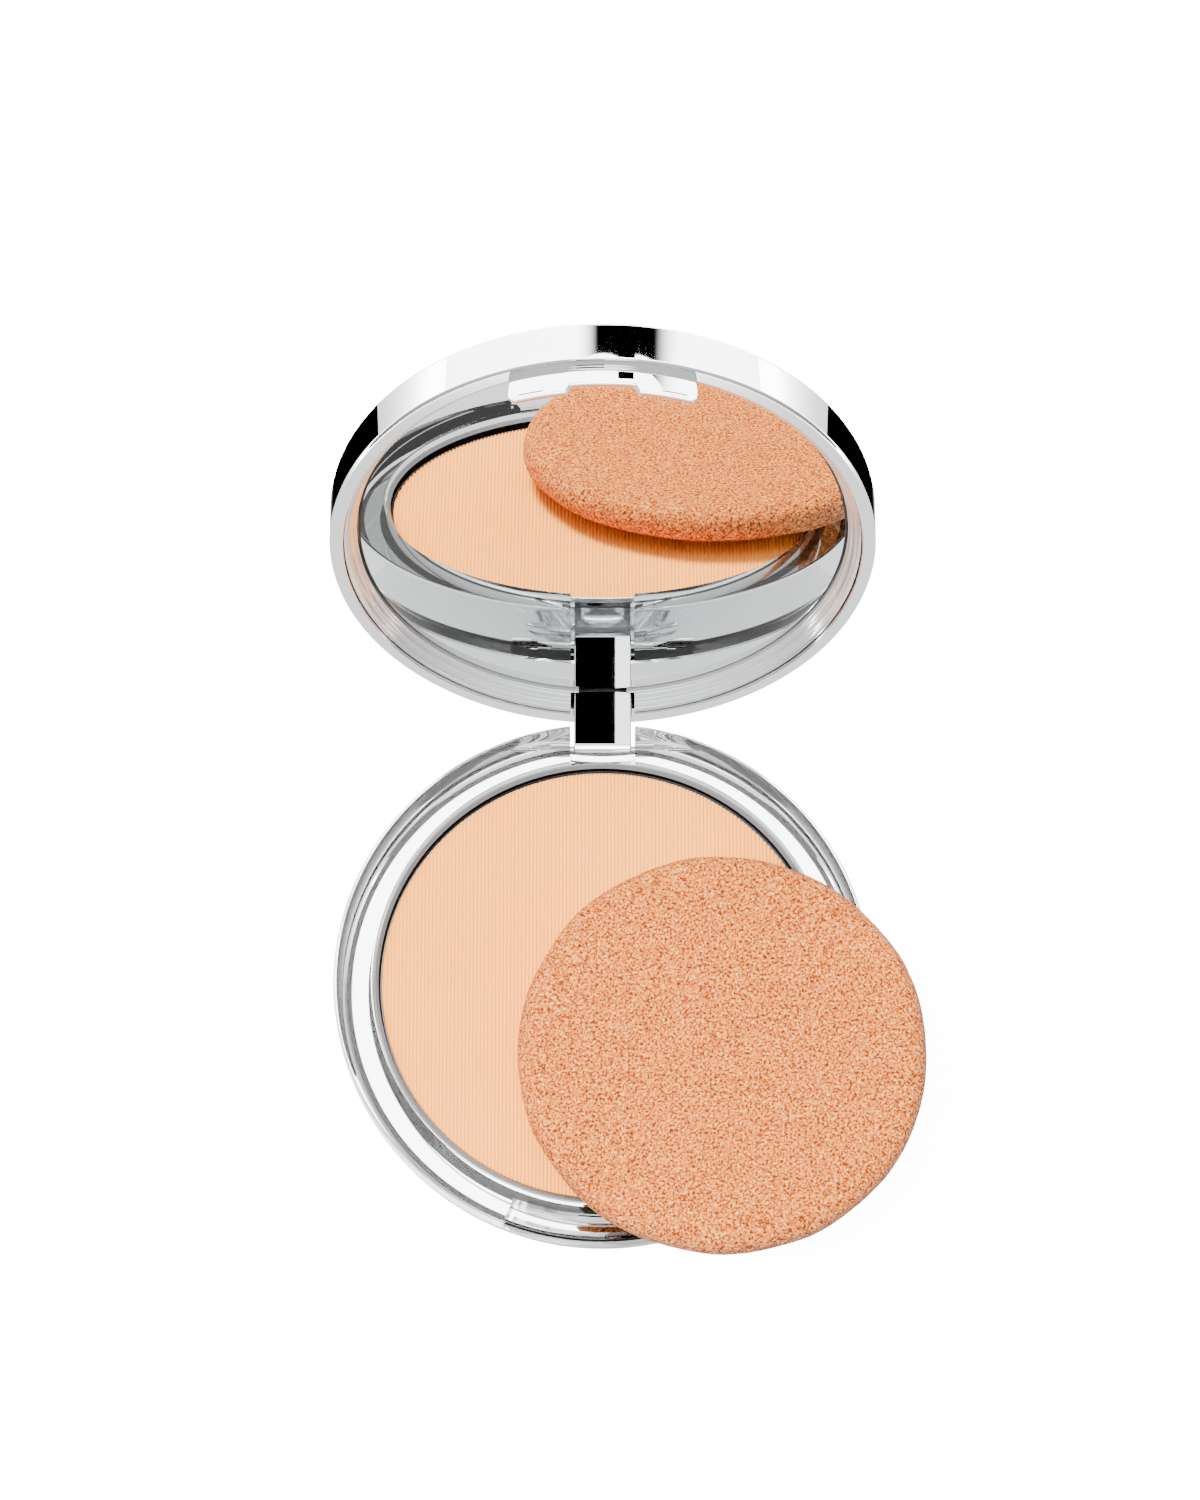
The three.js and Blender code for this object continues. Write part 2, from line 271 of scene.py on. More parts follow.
def node(tree, kind, settings=None, stops=(), **inputs):
    """Adds a node, sets its properties and ramp stops, and sets or links its inputs by name."""
    made = tree.nodes.new(kind)
    for key, value in (settings or {}).items():
        setattr(made, key, value)
    while stops and len(made.color_ramp.elements) < len(stops):
        made.color_ramp.elements.new(0.5)
    for i, (position, colour) in enumerate(stops):
        made.color_ramp.elements[i].position = position
        made.color_ramp.elements[i].color = linear(colour)
    for key, value in inputs.items():
        name = key.replace("_", " ")
        socket = made.inputs[int(key[1:])] if key[0] == "i" and key[1:].isdigit() else made.inputs[name]
        if isinstance(value, bpy.types.NodeSocket):
            tree.links.new(value, socket)
        else:
            socket.default_value = value
    return made


def new_material(name, colour, **shader_values):
    """A material with one Principled shader and its plain values set on the shader."""
    material = bpy.data.materials.new(name)
    material.use_nodes = True
    tree = material.node_tree
    shader = tree.nodes["Principled BSDF"]
    shader.inputs["Base Color"].default_value = linear(colour)
    for key, value in shader_values.items():
        shader.inputs[key.replace("_", " ")].default_value = value
    return material, tree, shader


def per_mm(size):
    """A texture scale for a pattern whose cells measure size millimetres, on coordinates in metres."""
    return 1 / (size * MM)


def chrome_on_abs():
    """Bright chrome over polished ABS: a near mirror with a faint orange peel from the moulding."""
    material, tree, shader = new_material("chrome_plated_abs", "#E9EAEB", Metallic=1.0, Roughness=0.015)
    coordinates = node(tree, "ShaderNodeTexCoord").outputs["Object"]
    ripple = node(tree, "ShaderNodeTexNoise", Vector=coordinates, Scale=per_mm(9.0), Detail=1.0)
    wear = node(tree, "ShaderNodeTexNoise", Vector=coordinates, Scale=per_mm(1.5), Detail=5.0)
    rough = node(tree, "ShaderNodeMapRange", Value=wear.outputs["Fac"], To_Min=0.008, To_Max=0.022)
    tree.links.new(rough.outputs["Result"], shader.inputs["Roughness"])
    bump = node(tree, "ShaderNodeBump", Height=ripple.outputs["Fac"], Strength=0.05, Distance=0.02 * MM)
    tree.links.new(bump.outputs["Normal"], shader.inputs["Normal"])
    return material


def polished_chrome():
    """Decorative chrome on a die-cast link, buffed before plating: reflections with crisp edges."""
    material, tree, shader = new_material(
        "buffed_decorative_chrome", "#ECEDEE", Metallic=1.0, Roughness=0.01,
    )
    coordinates = node(tree, "ShaderNodeTexCoord").outputs["Object"]
    wear = node(tree, "ShaderNodeTexNoise", Vector=coordinates, Scale=per_mm(0.8), Detail=4.0)
    rough = node(tree, "ShaderNodeMapRange", Value=wear.outputs["Fac"], To_Min=0.0, To_Max=0.02)
    tree.links.new(rough.outputs["Result"], shader.inputs["Roughness"])
    return material


def metallised_plastic():
    """Vacuum-metallised moulding: silver, a little softer than chrome."""
    material, tree, shader = new_material(
        "vacuum_metallised_plastic", "#D4D6D8", Metallic=0.7, Roughness=0.07,
    )
    coordinates = node(tree, "ShaderNodeTexCoord").outputs["Object"]
    cloud = node(tree, "ShaderNodeTexNoise", Vector=coordinates, Scale=per_mm(2.0), Detail=4.0)
    rough = node(tree, "ShaderNodeMapRange", Value=cloud.outputs["Fac"], To_Min=0.04, To_Max=0.11)
    tree.links.new(rough.outputs["Result"], shader.inputs["Roughness"])
    return material


def satin_lacquer():
    """Silver-grey lacquer over a spark-eroded mould face: a satin that hardly reflects."""
    material, tree, shader = new_material("satin_lacquered_plastic", "#5E6063", Roughness=0.4)
    coordinates = node(tree, "ShaderNodeTexCoord").outputs["Object"]
    grit = node(tree, "ShaderNodeTexNoise", Vector=coordinates, Scale=per_mm(0.25), Detail=3.0)
    rough = node(tree, "ShaderNodeMapRange", Value=grit.outputs["Fac"], To_Min=0.28, To_Max=0.42)
    tree.links.new(rough.outputs["Result"], shader.inputs["Roughness"])
    return material


def clear_san():
    """Clear injection-moulded styrene-acrylonitrile: glassy, with faint flow waves."""
    material, tree, shader = new_material(
        "clear_moulded_san", "#FBFCFC", Roughness=0.01, IOR=1.57, Transmission_Weight=1.0,
        Specular_Tint=(0.25, 0.25, 0.25, 1.0),
    )
    coordinates = node(tree, "ShaderNodeTexCoord").outputs["Object"]
    flow = node(tree, "ShaderNodeTexNoise", Vector=coordinates, Scale=per_mm(7.0), Detail=1.0)
    bump = node(tree, "ShaderNodeBump", Height=flow.outputs["Fac"], Strength=0.08, Distance=0.03 * MM)
    tree.links.new(bump.outputs["Normal"], shader.inputs["Normal"])
    return material


def silvered_glass():
    """Silvered float glass: a perfect mirror with the faintest cool tint."""
    return new_material("silvered_float_glass", "#F3F5F5", Metallic=1.0, Roughness=0.0)[0]


def mirror_edge_paint():
    """Dark backing paint that shows as a line at the mirror's ground edge."""
    material, tree, shader = new_material("mirror_backing_paint", "#1B1C1E", Roughness=0.3)
    coordinates = node(tree, "ShaderNodeTexCoord").outputs["Object"]
    speck = node(tree, "ShaderNodeTexNoise", Vector=coordinates, Scale=per_mm(0.4), Detail=3.0)
    colour = node(
        tree, "ShaderNodeValToRGB", stops=[(0.3, "#141517"), (0.7, "#2A2B2E")],
        Fac=speck.outputs["Fac"],
    )
    tree.links.new(colour.outputs["Color"], shader.inputs["Base Color"])
    return material


def weld_bead_and_painted_shade():
    """Near-black paint with no shine: the smoky bead that ultrasonic welding leaves in the joint, and
    painted shade in the gaps beside it.
    """
    material, tree, shader = new_material(
        "weld_bead_and_painted_gap_shade", "#060607", Roughness=0.9, Specular_IOR_Level=0.0,
    )
    coordinates = node(tree, "ShaderNodeTexCoord").outputs["Object"]
    speck = node(tree, "ShaderNodeTexNoise", Vector=coordinates, Scale=per_mm(0.8), Detail=3.0)
    colour = node(
        tree, "ShaderNodeValToRGB", stops=[(0.3, "#030304"), (0.75, "#101113")],
        Fac=speck.outputs["Fac"],
    )
    tree.links.new(colour.outputs["Color"], shader.inputs["Base Color"])
    return material


def drawn_aluminium():
    """Deep-drawn aluminium of the powder pan, with fine drawing lines round its wall; its base colour is
    darker than bare aluminium, as painted shade, so the rim reads as the shaded gap at the powder's edge.
    """
    # Darkened base colour: painted shade for the gap at the powder's edge.
    material, tree, shader = new_material("drawn_aluminium", "#77787A", Metallic=1.0, Roughness=0.32)
    coordinates = node(tree, "ShaderNodeTexCoord").outputs["Object"]
    grain = node(tree, "ShaderNodeTexNoise", Vector=coordinates, Scale=per_mm(0.5), Detail=4.0)
    rough = node(tree, "ShaderNodeMapRange", Value=grain.outputs["Fac"], To_Min=0.26, To_Max=0.42)
    tree.links.new(rough.outputs["Result"], shader.inputs["Roughness"])
    return material


def steel_wire():
    """Drawn stainless wire of the hinge pin."""
    material, tree, shader = new_material("drawn_stainless_wire", "#C3C4C6", Metallic=1.0, Roughness=0.22)
    coordinates = node(tree, "ShaderNodeTexCoord").outputs["Object"]
    grain = node(tree, "ShaderNodeTexNoise", Vector=coordinates, Scale=per_mm(0.3), Detail=3.0)
    rough = node(tree, "ShaderNodeMapRange", Value=grain.outputs["Fac"], To_Min=0.16, To_Max=0.3)
    tree.links.new(rough.outputs["Result"], shader.inputs["Roughness"])
    return material


def pressed_powder():
    """Talc-based pressed powder: dead matt, pale peach, with fine grains of a slightly deeper tone."""
    material, tree, shader = new_material("pressed_face_powder", "#FAB864", Roughness=0.95)
    coordinates = node(tree, "ShaderNodeTexCoord").outputs["Object"]
    grain = node(tree, "ShaderNodeTexNoise", Vector=coordinates, Scale=per_mm(0.12), Detail=2.0)
    drift = node(tree, "ShaderNodeTexNoise", Vector=coordinates, Scale=per_mm(14.0), Detail=2.0)
    mixed = node(
        tree, "ShaderNodeMath", {"operation": "MULTIPLY_ADD"},
        i0=drift.outputs["Fac"], i1=0.35, i2=grain.outputs["Fac"],
    )
    colour = node(
        tree, "ShaderNodeValToRGB", stops=[(0.35, "#F8A23C"), (0.62, "#FDAC45"), (0.9, "#FEB657")],
        Fac=mixed.outputs[0],
    )
    tree.links.new(colour.outputs["Color"], shader.inputs["Base Color"])
    bump = node(tree, "ShaderNodeBump", Height=grain.outputs["Fac"], Strength=0.35, Distance=0.03 * MM)
    tree.links.new(bump.outputs["Normal"], shader.inputs["Normal"])
    shader.inputs["Specular IOR Level"].default_value = 0.15
    return material


def latex_foam():
    """Open-cell latex foam: matt peach skin crowded with small torn pores, which painted shade makes darker
    and redder.
    """
    material, tree, shader = new_material("open_cell_latex_foam", "#EB8E48", Roughness=0.9)
    coordinates = node(tree, "ShaderNodeTexCoord").outputs["Object"]
    pores = node(
        tree, "ShaderNodeTexNoise", Vector=coordinates, Scale=per_mm(0.34), Detail=1.0, Roughness=0.5,
        Distortion=0.6,
    )
    scattered = node(tree, "ShaderNodeTexNoise", Vector=coordinates, Scale=per_mm(3.2), Detail=2.0)
    depth = node(
        tree, "ShaderNodeMath", {"operation": "MULTIPLY_ADD"},
        i0=scattered.outputs["Fac"], i1=0.04, i2=pores.outputs["Fac"],
    )
    # The ramp follows the bump's relief: painted shade darkens and reddens the pores, painted highlights
    # lighten the raised skin, the foam's own peach lies between.
    colour = node(
        tree, "ShaderNodeValToRGB",
        stops=[(0.37, "#6E2E0C"), (0.44, "#B85C22"), (0.5, "#DB7328"), (0.6, "#EA883A"), (0.7, "#F7A961")],
        Fac=depth.outputs[0],
    )
    tree.links.new(colour.outputs["Color"], shader.inputs["Base Color"])
    relief = node(
        tree, "ShaderNodeMapRange", Value=depth.outputs[0],
        From_Min=0.38, From_Max=0.68, To_Min=0.0, To_Max=1.0,
    )
    bump = node(tree, "ShaderNodeBump", Height=relief.outputs["Result"], Strength=1.0, Distance=0.2 * MM)
    tree.links.new(bump.outputs["Normal"], shader.inputs["Normal"])
    shader.inputs["Specular IOR Level"].default_value = 0.2
    return material


def film_label():
    """Blank satin polypropylene label."""
    material, tree, shader = new_material("satin_polypropylene_film", "#F1F1EF", Roughness=0.45)
    coordinates = node(tree, "ShaderNodeTexCoord").outputs["Object"]
    fibre = node(tree, "ShaderNodeTexNoise", Vector=coordinates, Scale=per_mm(0.6), Detail=3.0)
    colour = node(
        tree, "ShaderNodeValToRGB", stops=[(0.3, "#ECECEA"), (0.7, "#F5F5F3")],
        Fac=fibre.outputs["Fac"],
    )
    tree.links.new(colour.outputs["Color"], shader.inputs["Base Color"])
    return material


def foam_tape():
    """Double-sided tape, off-white and slightly fibrous."""
    material, tree, shader = new_material("double_sided_tape", "#E4E1D8", Roughness=0.8)
    coordinates = node(tree, "ShaderNodeTexCoord").outputs["Object"]
    fibre = node(tree, "ShaderNodeTexNoise", Vector=coordinates, Scale=per_mm(0.8), Detail=5.0)
    colour = node(
        tree, "ShaderNodeValToRGB", stops=[(0.3, "#D8D4C8"), (0.7, "#ECE9E1")],
        Fac=fibre.outputs["Fac"],
    )
    tree.links.new(colour.outputs["Color"], shader.inputs["Base Color"])
    return material


CHROME = chrome_on_abs()
BRIGHT = polished_chrome()
SILVER = metallised_plastic()
SATIN = satin_lacquer()
CLEAR = clear_san()
MIRROR = silvered_glass()
MIRROR_EDGE = mirror_edge_paint()
WELD_BEAD_AND_PAINTED_SHADE = weld_bead_and_painted_shade()
ALUMINIUM = drawn_aluminium()
STEEL = steel_wire()
POWDER = pressed_powder()
FOAM = latex_foam()
LABEL = film_label()
TAPE = foam_tape()


def settle(piece, body, nodes, slot, *materials):
    """Rides a piece on its body, hides the CAD nodes it stands for, and gives it its materials."""
    for material in materials:
        piece.data.materials.append(material)
    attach(piece, body)
    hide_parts(*nodes)


# ---- base ----

def base_radius(height):
    """Outer radius of the base: widest under the parting line, rounding in to the foot."""
    drop = max(PARTING - height - SHOULDER, 0) / (PARTING - SHOULDER)
    return FOOT_RADIUS + (BASE_RADIUS - FOOT_RADIUS) * math.sqrt(1 - drop * drop)


def outer_curve(low, high, steps):
    heights = [low + (high - low) * (1 - math.cos(math.pi / 2 * i / steps)) for i in range(steps + 1)]
    return [(base_radius(height), height) for height in heights]


def paint_between(bm, inner, outer, above, slot=1):
    """Gives a ring of faces another of the piece's materials, the second unless told."""
    for face in bm.faces:
        middle = face.calc_center_median()
        if inner < middle.xy.length < outer and middle.z > above:
            face.material_index = slot


def make_base_dish():
    """The lower shell: a foot, a bowl, a weld groove in its flange, and a spigot the tray sits on; the
    groove is painted near black as weld bead and painted shade, the flange ring beside the tray as painted
    shade.
    """
    seam_edge = SEAM - WELD_DEPTH
    outline = [
        (0, LABEL_RECESS_DEPTH), (LABEL_RECESS_RADIUS, LABEL_RECESS_DEPTH), (LABEL_RECESS_RADIUS, 0.0),
        *outer_curve(0, seam_edge, 14), (WELD_OUTER, SEAM - 0.03),
        (WELD_OUTER - WELD_DRAFT, seam_edge), (WELD_INNER + WELD_DRAFT, seam_edge), (WELD_INNER, SEAM),
        (GAP_SHADE_OUTER, SEAM), (TRAY_RADIUS, SEAM), (TRAY_RADIUS, SPIGOT_TOP), (SPIGOT_INNER, SPIGOT_TOP),
        (SPIGOT_INNER, DISH_FLOOR), (0, DISH_FLOOR),
    ]
    bm = spun(outline)
    # Weld groove painted near black: the weld bead, and painted shade in the groove.
    paint_between(bm, WELD_INNER - 0.01, WELD_OUTER + 0.01, SEAM - 0.4)
    # Flange ring between the tray and the clear ring painted near black: painted shade of the gap, seen
    # through the clear ring.
    paint_between(bm, TRAY_RADIUS - 0.01, GAP_SHADE_OUTER - 0.05, SEAM - 0.1)
    piece = finish_mesh("foot_dish", bm)
    settle(piece, "base", ["base_cover"], "chrome_plating", CHROME, WELD_BEAD_AND_PAINTED_SHADE)


def make_clear_body():
    """The clear ring, cut for the hinge strap, its pin and the latch, with a catch bar in the pocket."""
    outline = rounded([
        (RING_INNER, RING_BOTTOM),
        *outer_curve(RING_BOTTOM, PARTING - 0.45, 12),
        (BASE_RADIUS, PARTING, 1),
        (RING_INNER, PARTING, 0.6),
    ], 0.4)
    top = PARTING + 1
    far = BASE_RADIUS + 1
    shelf = block((-SLOT_HALF, SHELF_FRONT, PARTING - SHELF_DEPTH), (SLOT_HALF, far, top))
    slot = block((-SLOT_HALF, SLOT_FRONT, RING_BOTTOM - 1), (SLOT_HALF, far, top))
    pocket = arc_block(POCKET_INNER, POCKET_OUTER, PARTING - POCKET_DEPTH, top, POCKET_HALF_ANGLE)
    bores = bar_along_x(BORE_RADIUS, -LUG_BORE_END, LUG_BORE_END)
    counterbores = [
        bar_along_x(COUNTERBORE_RADIUS, -far, 0.01 - LUG_BORE_END),
        bar_along_x(COUNTERBORE_RADIUS, LUG_BORE_END - 0.01, far),
    ]
    ring = combined(spun(outline), [shelf, slot, pocket, bores, *counterbores])
    bar = arc_block(CATCH_INNER, CATCH_OUTER, PARTING - 2.2, PARTING - 0.7, CATCH_HALF_ANGLE, 8)
    whole = combined(ring, [bar], "UNION")
    piece = finish_mesh("clear_body", whole, 30)
    settle(piece, "base", ["base_body"], "clear_plastic", CLEAR)


def make_tray():
    """The tray round the pan: a sloped lip, a steep edge beside the pan painted near black as painted
    shade, and a silver outer wall.
    """
    outline = rounded([
        (0, TRAY_BOTTOM), (TRAY_RADIUS, TRAY_BOTTOM), (TRAY_RADIUS, TRAY_TOP, 1), (31.4, TRAY_TOP - 0.02),
        (30.95, 12.25), (TRAY_BORE, 11.3), (TRAY_BORE, TRAY_FLOOR), (0, TRAY_FLOOR),
    ], 0.15, 3)
    bm = spun(outline)
    paint_between(bm, TRAY_RADIUS - 0.05, TRAY_RADIUS + 0.05, 6.5, slot=2)
    # Steep wall just above the powder painted near black: painted shade at the powder's edge.
    paint_between(bm, TRAY_BORE - 0.05, TRAY_BORE + 0.08, 11)
    piece = finish_mesh("powder_well", bm)
    settle(piece, "base", ["powder_tray"], "silver_plating", SATIN, WELD_BEAD_AND_PAINTED_SHADE, SILVER)


def make_pan():
    inner = PAN_RADIUS - PAN_WALL
    outline = rounded([
        (0, PAN_BOTTOM), (PAN_RADIUS, PAN_BOTTOM, 3), (PAN_RADIUS, PAN_TOP, 1), (inner, PAN_TOP, 1),
        (inner, PAN_FLOOR, 3), (0, PAN_FLOOR),
    ], 0.08, 3)
    piece = finish_mesh("metal_pan", spun(outline))
    settle(piece, "base", ["powder_pan"], "pan_aluminium", ALUMINIUM)


def make_powder():
    """The cake's top is moulded in straight ribs from front to back."""
    bm = bmesh.new()
    columns = int(2 * POWDER_RADIUS / RIB_PITCH * RIB_POINTS)
    bmesh.ops.create_grid(bm, x_segments=columns, y_segments=2, size=1)
    for vert in bm.verts:
        x = vert.co.x * POWDER_RADIUS
        reach = math.sqrt(max(POWDER_RADIUS ** 2 - x * x, 0.0004))
        hollow = (0.5 - 0.5 * math.cos(math.tau * x / RIB_PITCH)) ** 1.5
        vert.co = (x, vert.co.y * reach, POWDER_TOP - RIB_DEPTH * hollow)
    rim = [edge for edge in bm.edges if edge.is_boundary]
    walls = bmesh.ops.extrude_edge_only(bm, edges=rim)
    for item in walls["geom"]:
        if isinstance(item, bmesh.types.BMVert):
            item.co.z = POWDER_BOTTOM
    bmesh.ops.contextual_create(bm, geom=[edge for edge in bm.edges if edge.is_boundary])
    piece = finish_mesh("ribbed_powder", bm, 50)
    settle(piece, "base", ["powder_cake"], "pressed_powder", POWDER)


def make_pin():
    bm = bar_along_x(PIN_RADIUS, -PIN_HALF, PIN_HALF)
    ends = [edge for edge in bm.edges if abs(abs(edge.verts[0].co.x) - PIN_HALF) < 1e-6
            and abs(edge.verts[0].co.x - edge.verts[1].co.x) < 1e-6]
    bmesh.ops.bevel(bm, geom=ends, offset=0.1, segments=2, profile=0.5, affect="EDGES", material=-1)
    piece = finish_mesh("wire_pin", bm)
    settle(piece, "base", ["hinge_pin"], "pin_steel", STEEL)


# ---- lid ----

def make_lid_shell():
    top = PARTING + LID_HEIGHT
    under = top - LID_TOP_THICKNESS
    outline = rounded([
        (0, under), (LID_WALL_INNER, under), (LID_WALL_INNER, RIM, 1), (LID_RADIUS - 0.3, RIM + 0.18, 1),
        (LID_RADIUS, RIM + 0.5, 1), (LID_RADIUS, top, 4.2), (0, top),
    ], 0.12)
    piece = finish_mesh("lid_casing", open_lid(spun(outline)))
    settle(piece, "lid", ["lid_shell"], "chrome_plating", CHROME)


def make_lid_frame():
    """The ring that steps in from the casing to the mirror, notched for the strap and its foot."""
    back = PARTING + MIRROR_DEPTH + 1.4
    steps = []
    for (radius, height), (outer, _) in zip(FRAME_STEPS, (*FRAME_STEPS[1:], (FRAME_RADIUS, 0))):
        steps += [(radius, PARTING + height, 1), (outer, PARTING + height, 1)]
    outline = rounded([
        (LEDGE_RADIUS, back), (FRAME_STEPS[0][0], back), *steps,
        (FRAME_RADIUS, PARTING + FRAME_TOP), (LEDGE_RADIUS, PARTING + FRAME_TOP),
    ], 0.12, 3)
    beyond = (SLOT_HALF, LID_RADIUS + 0.5, PARTING + 7)
    notch = block((-SLOT_HALF, STRAP_FRONT - 0.1, PARTING), beyond)
    foot_room = block((-SLOT_HALF, LEDGE_RADIUS - 1, back - 1), beyond)
    ring = combined(spun(outline), [notch, foot_room])
    piece = finish_mesh("lid_inner_ring", open_lid(ring))
    settle(piece, "lid", ["lid_frame"], "silver_plating", SILVER)


def make_mirror():
    front = PARTING + MIRROR_DEPTH
    outline = [
        (0, front), (MIRROR_RADIUS - 0.3, front), (MIRROR_RADIUS, front + 0.2),
        (MIRROR_RADIUS, front + MIRROR_THICKNESS), (0, front + MIRROR_THICKNESS),
    ]
    bm = spun(outline)
    paint_between(bm, MIRROR_RADIUS - 0.25, LID_RADIUS, 0)
    piece = finish_mesh("mirror_disc", open_lid(bm), 15)
    settle(piece, "lid", ["mirror"], "mirror_glass", MIRROR, MIRROR_EDGE)


def make_strap():
    """A flat plate that rolls into the barrel round the pin, with a foot trapped behind the mirror."""
    top = PARTING + LID_HEIGHT - 1.1
    back = STRAP_FRONT + STRAP_THICKNESS
    turns = 28
    start = math.pi
    end = math.pi * 2.5 + math.acos((back - PIN.y + BARREL_RADIUS) / BARREL_RADIUS - 1) - math.pi / 2
    barrel = [(PIN.y + BARREL_RADIUS * math.cos(a), PIN.z + BARREL_RADIUS * math.sin(a))
              for a in (start + (end - start) * i / turns for i in range(turns + 1))]
    under = top - STRAP_FOOT_THICKNESS
    side = [(STRAP_FOOT_END, top), (STRAP_FOOT_END, under), (STRAP_FRONT, under), *barrel, (back, top)]
    bm = bmesh.new()
    verts = [bm.verts.new((-STRAP_HALF, y, z)) for y, z in side]
    made = bmesh.ops.extrude_face_region(bm, geom=[bm.faces.new(verts)])
    moved = [item for item in made["geom"] if isinstance(item, bmesh.types.BMVert)]
    bmesh.ops.translate(bm, vec=(2 * STRAP_HALF, 0, 0), verts=moved)
    long_edges = [edge for edge in bm.edges
                  if abs(edge.verts[0].co.x - edge.verts[1].co.x) < 1e-6 and edge.calc_length() < 30]
    bmesh.ops.bevel(bm, geom=long_edges, offset=0.18, segments=3, profile=0.5, affect="EDGES", material=-1)
    bored = combined(bm, [bar_along_x(BORE_RADIUS, -5, 5)])
    piece = finish_mesh("strap_hinge", open_lid(bored), 40)
    settle(piece, "lid", ["hinge_strap"], "chrome_plating", BRIGHT)


def make_tongue():
    """A curved plate under the rim, cut shorter in the middle, with a snap nib near each end."""
    bm = bmesh.new()
    bmesh.ops.create_grid(bm, x_segments=82, y_segments=4, size=1)
    for vert in bm.verts:
        angle = TONGUE_HALF_ANGLE * vert.co.x
        up = (vert.co.y + 1) / 2
        wing = min(max(abs(angle) - TONGUE_NOTCH_HALF_ANGLE, 0), 1)
        corner = min(max((TONGUE_HALF_ANGLE - abs(angle)) / 1.2, 0), 1)
        round_off = 0.5 * (1 - math.sqrt(1 - (1 - corner) ** 2))
        tip = RIM - TONGUE_MIDDLE_REACH - TONGUE_WING_REACH * wing + round_off
        direction = math.radians(-90 + angle)
        height = tip + up * (RIM + 0.2 - tip)
        vert.co = (TONGUE_RADIUS * math.cos(direction), TONGUE_RADIUS * math.sin(direction), height)
    bmesh.ops.recalc_face_normals(bm, faces=bm.faces)
    if sum(face.normal.dot(face.calc_center_median()) for face in bm.faces) < 0:
        bmesh.ops.reverse_faces(bm, faces=bm.faces)
    bmesh.ops.solidify(bm, geom=bm.faces[:], thickness=TONGUE_THICKNESS)
    bmesh.ops.recalc_face_normals(bm, faces=bm.faces)
    rim_edges = [e for e in bm.edges if len(e.link_faces) == 2 and e.calc_face_angle(0) > 1.0]
    bmesh.ops.bevel(bm, geom=rim_edges, offset=0.12, segments=2, profile=0.5, affect="EDGES", material=-1)
    for side in (-1, 1):
        nib = arc_block(TONGUE_RADIUS - 0.3, TONGUE_RADIUS + 0.16, RIM - 3.6, RIM - 2.9, 2.8, 8)
        bmesh.ops.rotate(
            nib, verts=nib.verts, cent=(0, 0, 0),
            matrix=Matrix.Rotation(side * math.radians(NIB_ANGLE), 3, "Z"),
        )
        bmesh.ops.bevel(
            nib, geom=nib.edges[:], offset=0.06, segments=1, profile=0.5, affect="EDGES", material=-1,
        )
        nib_mesh = bpy.data.meshes.new("nib")
        nib.to_mesh(nib_mesh)
        nib.free()
        bm.from_mesh(nib_mesh)
        bpy.data.meshes.remove(nib_mesh)
    piece = finish_mesh("catch_tongue", open_lid(bm), 40)
    settle(piece, "lid", ["latch_tongue"], "chrome_plating", BRIGHT)


# ---- sponge ----

def make_sponge():
    """A punched foam disc: soft rolled edge, a slightly crowned face, and an uneven skin."""
    low, high = (Vector(corner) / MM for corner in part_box("applicator_sponge"))
    middle = (low + high) / 2
    radius = (high.x - low.x) / 2
    half = (high.z - low.z) / 2
    edge = half * 1.1
    flat = radius - edge
    outline = [(0.0, -half)]
    for i in range(1, 12):
        outline.append((flat * i / 11, -half))
    edge_steps = 22
    for i in range(1, edge_steps):
        angle = -math.pi / 2 + math.pi * i / edge_steps
        reach = math.copysign(abs(math.cos(angle)) ** 0.9, math.cos(angle))
        lift = math.copysign(abs(math.sin(angle)) ** 0.86, math.sin(angle))
        outline.append((flat + edge * reach, half * lift))
    for i in range(11, 0, -1):
        outline.append((flat * i / 11, half))
    outline.append((0.0, half))
    bm = spun(outline, 160)
    for vert in bm.verts:
        sideways = Vector((vert.co.x, vert.co.y, 0))
        wobble = noise.noise(vert.co * 0.11 + Vector((3.1, 7.7, 1.3)))
        fine = noise.noise(vert.co * 0.8)
        if sideways.length > radius * 0.8:
            vert.co += sideways.normalized() * (0.22 * wobble + 0.05 * fine - 0.25)
        if vert.co.z > 0:
            crown = 1 - (sideways.length / radius) ** 2
            vert.co.z += 0.12 * wobble + 0.04 * fine - 0.2 + 0.15 * crown
        else:
            vert.co.z = max(vert.co.z, -half)
    bmesh.ops.translate(bm, vec=middle, verts=bm.verts)
    piece = finish_mesh("foam_sponge", bm, 60)
    settle(piece, "sponge", ["applicator_sponge"], "foam", FOAM)


def dress_cad_node(name, material):
    mesh = frame["nodes"][name].data
    mesh.materials.clear()
    mesh.materials.append(material)


# ---- stage ----

FLOOR_GLOW = 14.0
KEY = (-0.28, -0.13, 0.87)


def make_camera():
    elevation = math.radians(71.96)
    target = Vector((-0.37, 33.3, PARTING)) * MM
    distance = 1023 * MM
    data = bpy.data.cameras.new("camera")
    data.sensor_fit = "VERTICAL"
    data.sensor_height = 36
    data.lens = 176.2
    camera = bpy.data.objects.new("camera", data)
    camera.location = target + distance * Vector((0, -math.cos(elevation), math.sin(elevation)))
    camera.rotation_euler = (math.pi / 2 - elevation, 0, 0)
    bpy.context.scene.collection.objects.link(camera)
    bpy.context.scene.camera = camera


